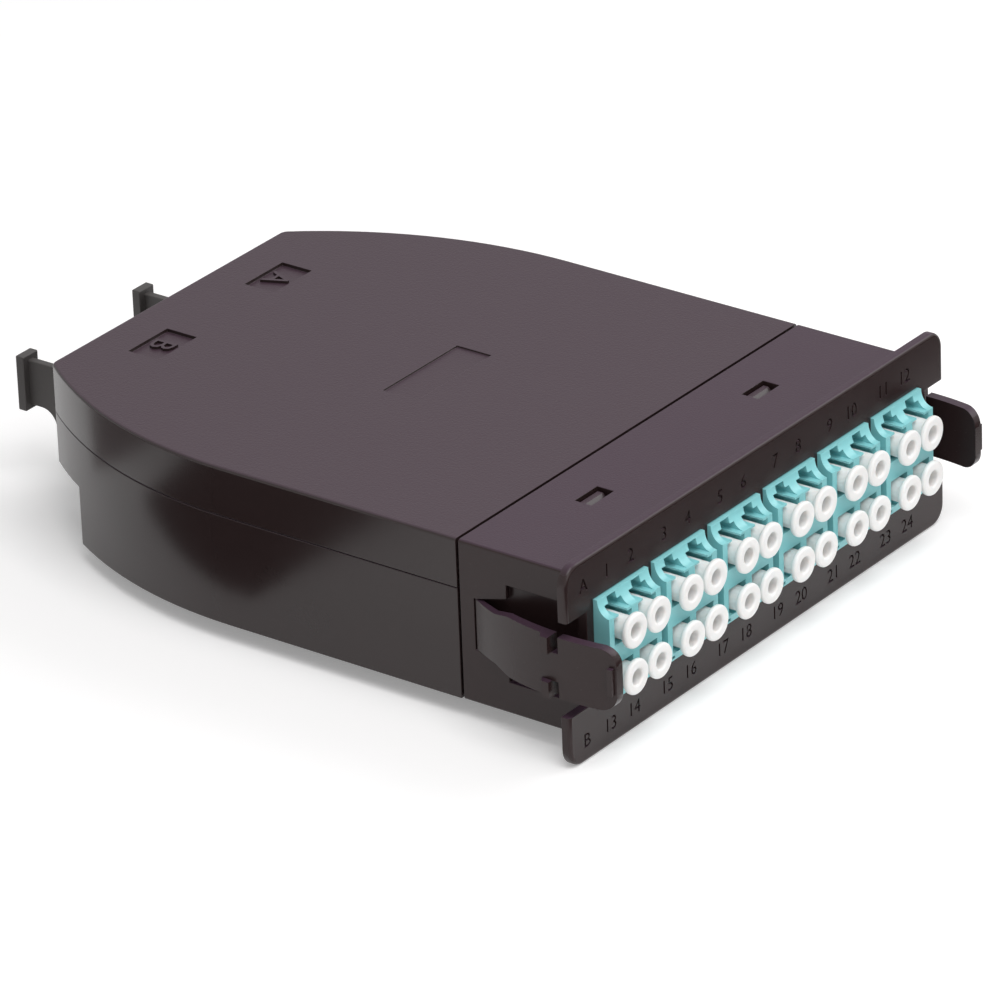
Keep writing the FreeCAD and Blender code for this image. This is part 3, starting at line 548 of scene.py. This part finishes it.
@dataclass(frozen=True)
class Lettering:
    """One plain letter or number as a solid with its strokes."""

    text: str
    middle: Place
    facing: Facing
    tall_mm: float
    deep_mm: float
    capital_share: float = 0.7
    close_mm: float = 0.02
    flat_degrees: float = 1.0
    curve_steps: int = 2

    def solid(self) -> bmesh.types.BMesh:
        """Makes the solid strokes in their place.

        Returns:
            The strokes as a bmesh, centred on the middle and as deep as they should be.
        """
        curve = bpy.data.curves.new("stroke", "FONT")
        curve.body = self.text
        curve.align_x = "CENTER"
        curve.align_y = "CENTER"
        curve.size = self.tall_mm / self.capital_share
        curve.extrude = self.deep_mm / 2
        curve.resolution_u = self.curve_steps
        holder = bpy.data.objects.new("stroke", curve)
        bpy.context.scene.collection.objects.link(holder)
        strokes = finished_mesh(holder)
        bm = bmesh.new()
        bm.from_mesh(strokes)
        bpy.data.objects.remove(holder)
        bpy.data.curves.remove(curve)
        bpy.data.meshes.remove(strokes)
        bmesh.ops.remove_doubles(bm, verts=bm.verts, dist=self.close_mm)
        bmesh.ops.dissolve_degenerate(bm, dist=self.close_mm, edges=bm.edges)
        join_flat(bm, math.radians(self.flat_degrees))
        bmesh.ops.recalc_face_normals(bm, faces=bm.faces)
        bmesh.ops.scale(bm, vec=Vector((MM, MM, MM)), verts=bm.verts)
        angle, axis = self.facing.value
        bmesh.ops.rotate(bm, matrix=Matrix.Rotation(angle, 3, axis), verts=bm.verts)
        low = Vector(min(v.co[i] for v in bm.verts) for i in range(3))
        high = Vector(max(v.co[i] for v in bm.verts) for i in range(3))
        bmesh.ops.translate(bm, vec=Vector(self.middle) - (low + high) / 2, verts=bm.verts)
        return bm


def joined(words: list[Lettering]) -> bmesh.types.BMesh:
    """All the lettering in one shape.

    Args:
        words: The lettering to join.

    Returns:
        The joined shape.
    """
    whole = bmesh.new()
    for word in words:
        add_shape(whole, word.solid())
    return whole


@dataclass
class FrontFrame(MouldedPart):
    """Faceplate and frame with a tight window and the port numbers sunk into the face."""

    number_tall: float = 2.35
    sink: float = 0.3
    upper_z: float = 12.75
    lower_z: float = -13.35
    letter_x: float = -46.4
    lower_letter_shift: float = 0.2
    window_half: float = 9.42
    lip: float = 0.9
    lip_deep: float = 1.3
    lip_overlap: float = 0.4
    bar_overlap: float = 0.1
    flat_axes: tuple[int, ...] = (1,)

    def words(self) -> list[Lettering]:
        """Numbers 1 to 24 in line with their caps, and the two row letters."""
        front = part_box(self.node)[0].y
        rows = [("A", self.letter_x, self.upper_z),
                ("B", self.letter_x - self.lower_letter_shift, self.lower_z)]
        for port in PORTS:
            row_z = self.upper_z if port <= len(PORTS) // 2 else self.lower_z
            rows.append((str(port), middle_x(f"dust_cap_{port:02d}"), row_z))
        return [Lettering(text, (x * MM, front, z * MM), Facing.FRONT, self.number_tall,
                          2 * self.sink) for text, x, z in rows]

    def window_bars(self) -> list[list[Point]]:
        """Outlines of the bars between the adapters and of the lips above and below them."""
        boxes = [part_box(f"lc_adapter_{number}") for number in ADAPTERS]
        reach = self.window_half + self.bar_overlap
        bars = [box_outline(near[1].x / MM, far[0].x / MM, -reach, reach)
                for near, far in zip(boxes, boxes[1:])]
        left = boxes[0][0].x / MM - self.lip_overlap
        right = boxes[-1][1].x / MM + self.lip_overlap
        return bars + [box_outline(left, right, low, low + self.lip)
                       for low in (self.window_half, -self.window_half - self.lip)]

    def shape(self) -> bmesh.types.BMesh:
        """The softened frame with its window's bars, and with the lettering cut into it."""
        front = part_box(self.node)[0].y / MM
        bm = merged(self.node)
        for outline in self.window_bars():
            bar = bmesh.new()
            prism(bar, outline, 1, front, front + self.lip_deep)
            bm = combined(bm, bar, Joint.FUSE)
        join_flat(bm)
        soften(bm, self.edge_mm, self.segments)
        bm = combined(bm, joined(self.words()), Joint.CUT)
        bmesh.ops.triangulate(bm, faces=[face for face in bm.faces if len(face.verts) > 4])
        return bm


@dataclass
class LcAdapter(MouldedPart):
    """LC quad adapter: scooped edges, and square ports with two ledges, a channel and a slot.

    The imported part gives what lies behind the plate, and the front is built here.
    """

    edge_mm: float = 0.09
    split: float = 3.0
    front: float = -4.4
    deck_back: float = -2.2
    deck_half: float = 9.3
    cheek_half: float = 6.6
    wide: float = 13.3
    tall: float = 19.8
    neck: float = -0.15
    duplex_pitch: float = 6.25
    row_pitch: float = 7.88
    port_half: float = 2.3
    ledge_apart: float = 2.2
    ledge_thick: float = 0.35
    channel_wide: float = 4.3
    channel_tall: float = 1.3
    key_wide: float = 2.2
    key_tall: float = 1.1
    past: float = 1.0
    curve_steps: int = 10
    flat_axes: tuple[int, ...] = (0, 1, 2)

    def side_outline(self) -> list[Point]:
        """The front part seen from the side, with a quarter-round scoop along both edges."""
        half = self.tall / 2
        across, down = self.deck_back - self.front, self.deck_half - self.cheek_half
        scoop = [(self.front + across * math.cos(turn), self.deck_half - down * math.sin(turn))
                 for turn in quarter_turn(self.curve_steps)]
        upper = [(self.split, half), (self.neck, half), (self.neck, self.deck_half), *scoop]
        return upper + [(back, -height) for back, height in reversed(upper)]

    def port_outline(self, across: float, up: int) -> list[Point]:
        """One port seen from the front.

        Args:
            across: Its middle line.
            up: 1 in the upper row and -1 in the lower one.

        Returns:
            The outline's corners.
        """
        middle = self.row_pitch / 2
        top = middle + self.port_half
        over = top + self.ledge_thick
        channel = over + self.channel_tall
        steps = [(self.port_half, middle - self.port_half), (self.port_half, top),
                 (self.ledge_apart / 2, top), (self.ledge_apart / 2, over),
                 (self.channel_wide / 2, over), (self.channel_wide / 2, channel),
                 (self.key_wide / 2, channel), (self.key_wide / 2, channel + self.key_tall)]
        right = [(across + half, up * height) for half, height in steps]
        return right + [(across - half, up * height) for half, height in reversed(steps)]

    def front_part(self, middle: float) -> bmesh.types.BMesh:
        """The softened block in front of the split, with its four ports.

        Args:
            middle: The adapter's middle across the plate.

        Returns:
            The block.
        """
        block, ports = bmesh.new(), bmesh.new()
        prism(block, self.side_outline(), 0, middle - self.wide / 2, middle + self.wide / 2)
        for column in (-0.5, 0.5):
            for up in (-1, 1):
                prism(ports, self.port_outline(middle + column * self.duplex_pitch, up), 1,
                      self.front - self.past, self.split + self.past)
        bm = combined(block, ports, Joint.CUT)
        join_flat(bm)
        soften(bm, self.edge_mm, self.segments)
        return bm

    def rear_part(self, middle: float) -> bmesh.types.BMesh:
        """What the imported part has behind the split.

        Args:
            middle: The adapter's middle across the plate.

        Returns:
            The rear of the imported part.
        """
        before, reach = bmesh.new(), self.wide
        outline = box_outline(middle - reach, middle + reach, -reach, reach)
        prism(before, outline, 1, -reach, self.split)
        return combined(merged(self.node), before, Joint.CUT)

    def shape(self) -> bmesh.types.BMesh:
        """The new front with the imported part's rear behind it."""
        middle = middle_x(self.node)
        whole = self.front_part(middle)
        add_shape(whole, self.rear_part(middle))
        return whole


@dataclass
class MpoAdapter(MouldedPart):
    """MPO adapter, whose rim ends flush with the housing's hood."""

    rim: float = 120.6
    rim_reach: float = 0.1

    def shape(self) -> bmesh.types.BMesh:
        """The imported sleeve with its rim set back."""
        bm = merged(self.node)
        end = max(vert.co.y for vert in bm.verts)
        rim = [vert for vert in bm.verts if vert.co.y > end - self.rim_reach * MM]
        bmesh.ops.translate(bm, vec=Vector((0.0, self.rim * MM - end, 0.0)), verts=rim)
        soften(bm, self.edge_mm, self.segments)
        return bm


@dataclass
class MpoCap(MouldedPart):
    """Soft cap of an MPO input: plug, lip, upright web with a curved shoulder, and a grip."""

    edge_mm: float = 0.2
    segments: int = 3
    rim: float = 120.6
    lip_long: float = 1.2
    lip_half: Point = (7.0, 4.6)
    plug_half: Point = (5.95, 3.55)
    plug_overlap: float = 0.2
    web_half_thick: float = 0.7
    web_half: float = 4.0
    web_overlap: float = 0.4
    shoulder: float = 127.55
    shoulder_radius: float = 2.95
    grip_front: float = 132.75
    grip_half_wide: float = 1.9
    curve_steps: int = 10

    def web_outline(self) -> list[Point]:
        """The web seen from the side."""
        start = self.rim + self.lip_long - self.web_overlap
        end = self.grip_front + self.web_overlap
        curve = [(self.shoulder + self.shoulder_radius * (1 - math.cos(turn)),
                  -self.web_half - self.shoulder_radius * (1 - math.sin(turn)))
                 for turn in quarter_turn(self.curve_steps)]
        return [(start, self.web_half), (start, -self.web_half - self.shoulder_radius), *curve,
                (end, -self.web_half), (end, self.web_half)]

    def shape(self) -> bmesh.types.BMesh:
        """All four parts of the cap, each with rounded edges."""
        low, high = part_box(self.node)
        middle, thick = middle_x(self.node), self.web_half_thick
        grip_half = (self.grip_half_wide, high.z / MM)
        spans = [(self.plug_half, low.y / MM, self.rim + self.plug_overlap),
                 (self.lip_half, self.rim, self.rim + self.lip_long),
                 (grip_half, self.grip_front, high.y / MM)]
        bars = [(box_outline(middle - wide, middle + wide, -tall, tall), 1, start, end)
                for (wide, tall), start, end in spans]
        bars.append((self.web_outline(), 0, middle - thick, middle + thick))
        whole = bmesh.new()
        for bar in bars:
            bm = bmesh.new()
            prism(bm, *bar)
            soften(bm, self.edge_mm, self.segments)
            add_shape(whole, bm)
        return whole


@dataclass
class InputLetters:
    """Raised A and B in the sunk fields above the inputs."""

    finish: MouldedPlastic
    tall: float = 4.3
    sunk: float = 0.6
    rise: float = 0.45
    out: float = 15.1
    rear: float = 104.6

    def build(self) -> bpy.types.Object:
        """Makes both letters on the floor of their fields.

        Returns:
            The new piece.
        """
        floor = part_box("top_cover")[1].z - self.sunk * MM
        middle_z = floor + self.rise * MM / 2
        words = [Lettering(text, (side * self.out * MM, self.rear * MM, middle_z),
                           Facing.TOP_FROM_REAR, self.tall, self.rise)
                 for text, side in (("A", 1), ("B", -1))]
        piece = new_piece("input_letters", joined(words))
        dress(piece, material_of(self.finish))
        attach(piece, "cassette")
        return piece


@dataclass
class DustCap(MouldedPart):
    """Round cap in one LC port: a rolled head with a blind bore, on a hollow stem."""

    edge_mm: float = 0.4
    segments: int = 4
    made: str = "turned"
    head: float = 1.0
    stem: float = 1.95
    bore: float = 1.3
    bore_long: float = 5.5
    steps: int = 48

    def shape(self) -> bmesh.types.BMesh:
        """The cap turned about its port's line."""
        low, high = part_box(self.node)
        radius, length = (high.x - low.x) / 2, high.y - low.y
        head, stem, bore, deep = (size * MM for size in (self.head, self.stem, self.bore,
                                                         self.bore_long))
        profile = [(0.0, deep), (bore, deep), (bore, 0.0), (radius, 0.0), (radius, head),
                   (stem, head), (stem, length), (0.0, length)]
        bm = bmesh.new()
        verts = [bm.verts.new((across, along, 0.0)) for across, along in profile]
        edges = [bm.edges.new(pair) for pair in zip(verts, verts[1:])]
        bmesh.ops.spin(bm, geom=verts + edges, cent=(0, 0, 0), axis=(0, 1, 0), dvec=(0, 0, 0),
                       angle=math.tau, steps=self.steps, use_merge=True)
        bmesh.ops.remove_doubles(bm, verts=bm.verts, dist=SLIVER_MM * MM)
        bmesh.ops.recalc_face_normals(bm, faces=bm.faces)
        soften(bm, self.edge_mm, self.segments)
        start = ((low.x + high.x) / 2, low.y, (low.z + high.z) / 2)
        bmesh.ops.translate(bm, vec=start, verts=bm.verts)
        return bm


@dataclass(frozen=True)
class Softbox:
    """One square soft lamp, in metres and watts."""

    name: str
    place: Place
    target: Place
    size: float
    watts: float

    def build(self) -> None:
        """Hangs the lamp and turns it to its target."""
        data = bpy.data.lights.new(self.name, "AREA")
        data.shape = "SQUARE"
        data.size = self.size
        data.energy = self.watts
        lamp = bpy.data.objects.new(self.name, data)
        lamp.location = self.place
        aim = Vector(self.target) - Vector(self.place)
        lamp.rotation_euler = aim.to_track_quat("-Z", "Y").to_euler()
        bpy.context.scene.collection.objects.link(lamp)


@dataclass(frozen=True)
class PaintedReflectionCard:
    """Painted reflection: a matt sheet that lies on the floor, in metres, and shows in reflections
    alone.
    """

    name: str
    middle: Point
    size: Point
    tone: str
    above_floor_mm: float = 0.1

    def build(self) -> None:
        """Lays the card, whose tone the polished sides mirror as a painted reflection."""
        place = Vector((*self.middle, CAD_BOX[0].z + self.above_floor_mm * MM))
        bm = bmesh.new()
        bmesh.ops.create_grid(bm, x_segments=1, y_segments=1, size=0.5)
        bmesh.ops.scale(bm, vec=Vector((*self.size, 1.0)), verts=bm.verts)
        bmesh.ops.translate(bm, vec=place, verts=bm.verts)
        card = new_piece(self.name, bm)
        material = blank_material(f"{self.name}_matt")
        shader = add_node(material.node_tree, "BsdfDiffuse", {"Color": linear(self.tone)})
        add_node(material.node_tree, "OutputMaterial", {"Surface": shader.outputs[0]})
        dress(card, material)
        card.visible_camera = False
        card.visible_diffuse = False
        card.visible_shadow = False
        card.visible_transmission = False


@dataclass
class Studio:
    """Paper floor, white surroundings, soft lamps and cards that paint reflections."""

    half_wide: float = 3.0
    fill: float = 0.41
    paper: StudioPaper = StudioPaper()
    lamps: tuple[Softbox, ...] = (
        Softbox("key_softbox", (-0.25, -0.35, 1.0), (0.0, 0.05, 0.0), size=0.7, watts=7.0),
        Softbox("front_softbox", (-0.25, -1.05, 0.4), (0.0, 0.0, 0.0), size=0.6, watts=1.7),
        Softbox("fill_softbox", (0.75, -0.35, 0.7), (0.0, 0.0, 0.0), size=0.7, watts=3.5),
    )
    # Painted reflections: the dark front and side cards put painted shade into what the faceplate
    # and sides mirror, and the light rear card a painted lighter patch.
    cards: tuple[PaintedReflectionCard, ...] = (
        PaintedReflectionCard("front_painted_shade", (0.1, -0.28), (0.5, 0.5), "#1c1a1a"),
        PaintedReflectionCard("side_painted_shade", (-0.095, 0.1), (0.07, 0.05), "#2c2828"),
        PaintedReflectionCard("rear_painted_light", (-0.1, 0.2), (0.12, 0.12), "#958f90"),
    )

    def build(self) -> None:
        """Makes the floor, the lamps, the cards and the world."""
        bpy.context.scene.view_settings.view_transform = "Standard"
        bm = bmesh.new()
        bmesh.ops.create_grid(bm, x_segments=1, y_segments=1, size=self.half_wide,
                              matrix=Matrix.Translation((0, 0, CAD_BOX[0].z)))
        floor = new_piece("floor", bm)
        dress(floor, self.paper.make())
        for item in (*self.lamps, *self.cards):
            item.build()
        self.world()

    def world(self) -> None:
        """White to the eye and to reflections, a plain soft fill to everything else."""
        world = bpy.data.worlds.new("studio_white")
        bpy.context.scene.world = world
        world.use_nodes = True
        tree = world.node_tree
        tree.nodes.clear()
        strength = add_node(tree, "MapRange", {"Value": seen_share(tree),
                                               "To Min": self.fill}).outputs[0]
        sky = add_node(tree, "Background", {"Strength": strength}).outputs[0]
        add_node(tree, "OutputWorld", {"Surface": sky})


@dataclass
class ProductCamera:
    """Long lens from above the left-hand end of the faceplate."""

    azimuth: float = -52.518
    elevation: float = 26.27
    roll: float = -2.206
    distance: float = 1.2331
    lens_mm: float = 285.8
    sensor_mm: float = 36.0
    near: float = 0.05
    aim_offset_mm: Place = (-21.5, -29.7, 7.6)

    def build(self) -> None:
        """Places the camera and makes it the scene's."""
        turn, rise, lean = (math.radians(x) for x in (self.azimuth, self.elevation, self.roll))
        back = Vector((math.sin(turn) * math.cos(rise), -math.cos(turn) * math.cos(rise),
                       math.sin(rise)))
        level = Vector((math.cos(turn), math.sin(turn), 0.0))
        upright = back.cross(level)
        right = level * math.cos(lean) + upright * math.sin(lean)
        up = back.cross(right)
        data = bpy.data.cameras.new("product_camera")
        data.lens = self.lens_mm
        data.sensor_width = self.sensor_mm
        data.clip_start = self.near
        camera = bpy.data.objects.new("product_camera", data)
        aim = (CAD_BOX[0] + CAD_BOX[1]) / 2 + Vector(self.aim_offset_mm) * MM
        camera.matrix_world = Matrix.Translation(aim + back * self.distance) @ Matrix(
            (right, up, back)).transposed().to_4x4()
        bpy.context.scene.collection.objects.link(camera)
        bpy.context.scene.camera = camera


def cassette_parts() -> list[MouldedPart | InputLetters]:
    """Every piece that is built anew, in the order of building."""
    parts: list[MouldedPart | InputLetters] = [
        FrontFrame("front_frame", "cassette", "black_plastic", FRAME_ABS),
        MouldedPart("base_tray", "cassette", "black_plastic", HOUSING_ABS, edge_mm=0.2),
        MouldedPart("top_cover", "cassette", "black_plastic", HOUSING_ABS, edge_mm=0.15),
    ]
    parts += [MouldedPart(f"release_lever_{side}", f"lever_{side}", "black_plastic", FRAME_ABS,
                          edge_mm=0.25) for side in ("left", "right")]
    parts += [LcAdapter(f"lc_adapter_{number}", "cassette", "aqua_plastic", ADAPTER_PBT)
              for number in ADAPTERS]
    for name in "ab":
        parts += [MpoAdapter(f"mpo_adapter_{name}", "cassette", "black_plastic", FRAME_ABS,
                             edge_mm=0.12),
                  MpoCap(f"mpo_cap_{name}", f"rear_cap_{name}", "cap_plastic", COVER_PVC)]
    parts.append(InputLetters(HOUSING_ABS))
    parts += [DustCap(f"dust_cap_{port:02d}", f"cap_{port:02d}", "white_plastic", CAP_POLYETHYLENE)
              for port in PORTS]
    return parts


def dress_inner_parts() -> None:
    """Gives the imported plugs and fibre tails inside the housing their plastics."""
    for node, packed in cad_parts.items():
        if node.startswith(("lc_connectors", "mpo_connector")):
            dress(packed, material_of(PLUG_PBT))
        elif node.startswith("fibre_fanout"):
            dress(packed, material_of(JACKET_PVC))


def main() -> None:
    """Builds and dresses the cassette, then the studio and the camera."""
    logging.basicConfig(level=logging.INFO, format="%(message)s")
    log = logging.getLogger("cassette")
    for part in cassette_parts():
        piece = part.build()
        log.info("%s: %d faces", piece.name, len(piece.data.polygons))
    dress_inner_parts()
    Studio().build()
    ProductCamera().build()


if __name__ == "__main__":
    main()
